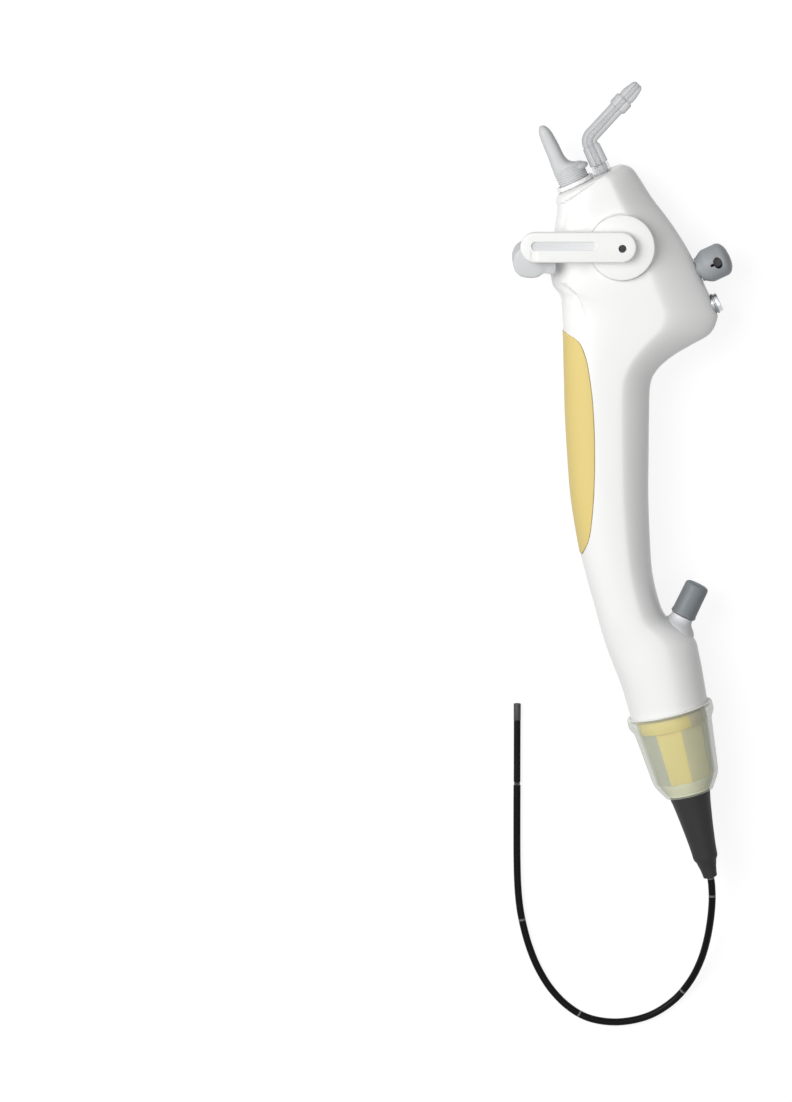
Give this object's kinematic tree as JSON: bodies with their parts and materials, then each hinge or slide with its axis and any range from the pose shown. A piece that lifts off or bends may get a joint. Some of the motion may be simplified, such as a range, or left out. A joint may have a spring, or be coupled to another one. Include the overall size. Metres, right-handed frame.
{
  "type": "flexible endoscope",
  "caption": "Handheld flexible endoscope with a thumb lever that bends the tip, a suction valve with a clear hose elbow, a channel port, a turning ring and a thin tube.",
  "frame": {"origin": "foot of the lever's pivot axis, on the flat face of the hub cap that the handle rests on", "axes": "+X to the finger side, +Y to the head, +Z from the far side to the near side, along the lever's pivot axis"},
  "size_m": [0.096, 0.4235, 0.0434],
  "materials": {
    "white_shell": "satin",
    "soft_white": "matt",
    "yellow_pad": "matt",
    "grey_soft": "matt",
    "light_grey": "satin",
    "charcoal": "matt",
    "black_tube": "satin",
    "clear": "clear",
    "ring_amber": "translucent",
    "core_yellow": "satin",
    "steel": "polished",
    "brass": "satin",
    "board_green": "satin"
  },
  "bodies": {
    "handle": {"housing_near": "white_shell", "housing_far": "white_shell", "palm_pad": "yellow_pad", "pivot_disc": "white_shell", "hub_cap": "white_shell", "wire_block": "light_grey", "wire_sheath_left": "steel", "wire_sheath_right": "steel", "chassis": "light_grey", "circuit_board": "board_green", "y_connector": "clear", "channel_tube": "clear", "camera_cable": "charcoal", "valve_seat": "white_shell", "valve_cylinder": "light_grey", "elbow_socket": "clear", "button_bezel": "charcoal", "record_switch": "charcoal", "port_neck": "light_grey", "lower_spigot": "white_shell", "snap_ring": "steel", "tube_ferrule": "brass", "insertion_tube": "black_tube", "tube_end_ring": "steel"},
    "lever": {"lever_arm": "white_shell", "thumb_pad": "soft_white", "lever_axle": "steel", "wire_drum": "brass", "lever_screw": "steel"},
    "wire_left": {"pull_wire_left": "steel"},
    "wire_right": {"pull_wire_right": "steel"},
    "button": {"suction_button": "soft_white", "valve_piston": "light_grey"},
    "elbow": {"suction_elbow": "clear"},
    "socket": {"cable_socket": "grey_soft", "socket_insert": "charcoal", "socket_nut": "brass"},
    "record": {"record_button": "steel"},
    "ring": {"rotation_ring": "ring_amber", "ring_core": "core_yellow", "strain_boot": "charcoal"},
    "cap": {"port_cap": "grey_soft"},
    "link_1": {"bending_link_1": "steel"},
    "link_2": {"bending_link_2": "steel"},
    "link_3": {"bending_link_3": "steel"},
    "link_4": {"bending_link_4": "steel"},
    "link_5": {"bending_link_5": "steel"},
    "link_6": {"bending_link_6": "steel"},
    "link_7": {"bending_link_7": "steel", "distal_tip": "charcoal", "camera_lens": "clear", "light_left": "core_yellow", "light_right": "core_yellow"}
  },
  "joints": [
    {"name": "lever_swing", "type": "hinge", "parent": "handle", "child": "lever", "pos_m": [0, 0, 0.0194], "axis": [0, 0, 1], "range_deg": [-30, 22]},
    {"name": "wire_left_pull", "type": "slide", "parent": "handle", "child": "wire_left", "axis": [0, 1, 0], "range_m": [-0.003, 0.004]},
    {"name": "wire_right_pull", "type": "slide", "parent": "handle", "child": "wire_right", "axis": [0, 1, 0], "range_m": [-0.004, 0.003]},
    {"name": "bend_1", "type": "hinge", "parent": "handle", "child": "link_1", "pos_m": [-0.0442, -0.2413, 0.0017], "axis": [0, 0, 1], "range_deg": [-23, 17]},
    {"name": "bend_2", "type": "hinge", "parent": "link_1", "child": "link_2", "pos_m": [-0.0442, -0.2373, 0.0017], "axis": [0, 0, 1], "range_deg": [-23, 17]},
    {"name": "bend_3", "type": "hinge", "parent": "link_2", "child": "link_3", "pos_m": [-0.0442, -0.2333, 0.0017], "axis": [0, 0, 1], "range_deg": [-23, 17]},
    {"name": "bend_4", "type": "hinge", "parent": "link_3", "child": "link_4", "pos_m": [-0.0442, -0.2293, 0.0017], "axis": [0, 0, 1], "range_deg": [-23, 17]},
    {"name": "bend_5", "type": "hinge", "parent": "link_4", "child": "link_5", "pos_m": [-0.0442, -0.2253, 0.0017], "axis": [0, 0, 1], "range_deg": [-23, 17]},
    {"name": "bend_6", "type": "hinge", "parent": "link_5", "child": "link_6", "pos_m": [-0.0442, -0.2213, 0.0017], "axis": [0, 0, 1], "range_deg": [-23, 17]},
    {"name": "bend_7", "type": "hinge", "parent": "link_6", "child": "link_7", "pos_m": [-0.0442, -0.2173, 0.0017], "axis": [0, 0, 1], "range_deg": [-23, 17]},
    {"name": "suction_press", "type": "slide", "parent": "handle", "child": "button", "axis": [0.4226, -0.9063, 0], "range_m": [0, 0.0025], "stiffness_N_per_m": 300},
    {"name": "elbow_swivel", "type": "hinge", "parent": "handle", "child": "elbow", "pos_m": [0.00562, 0.00262, 0.0194], "axis": [-0.4226, 0.9063, 0], "range_deg": [-110, 110]},
    {"name": "socket_swivel", "type": "hinge", "parent": "handle", "child": "socket", "pos_m": [0.01048, -0.02248, 0.0194], "axis": [0.9063, 0.4226, 0], "range_deg": [-120, 120]},
    {"name": "record_press", "type": "slide", "parent": "handle", "child": "record", "axis": [-0.9063, -0.4226, 0], "range_m": [0, 0.0008], "stiffness_N_per_m": 800},
    {"name": "ring_turn", "type": "hinge", "parent": "handle", "child": "ring", "pos_m": [0.0222, -0.2048, 0.0194], "axis": [0.2419, -0.9703, 0], "range_deg": [-90, 90]},
    {"name": "cap_pull", "type": "slide", "parent": "handle", "child": "cap", "axis": [0.4289, 0.9033, 0], "range_m": [0, 0.014]}
  ],
  "couplings": [
    {"joint": "wire_left_pull", "follows": "lever_swing", "m_per_rad": -0.007},
    {"joint": "wire_right_pull", "follows": "lever_swing", "m_per_rad": 0.007},
    {"joint": "bend_1", "follows": "lever_swing", "ratio": 0.75},
    {"joint": "bend_2", "follows": "lever_swing", "ratio": 0.75},
    {"joint": "bend_3", "follows": "lever_swing", "ratio": 0.75},
    {"joint": "bend_4", "follows": "lever_swing", "ratio": 0.75},
    {"joint": "bend_5", "follows": "lever_swing", "ratio": 0.75},
    {"joint": "bend_6", "follows": "lever_swing", "ratio": 0.75},
    {"joint": "bend_7", "follows": "lever_swing", "ratio": 0.75}
  ]
}
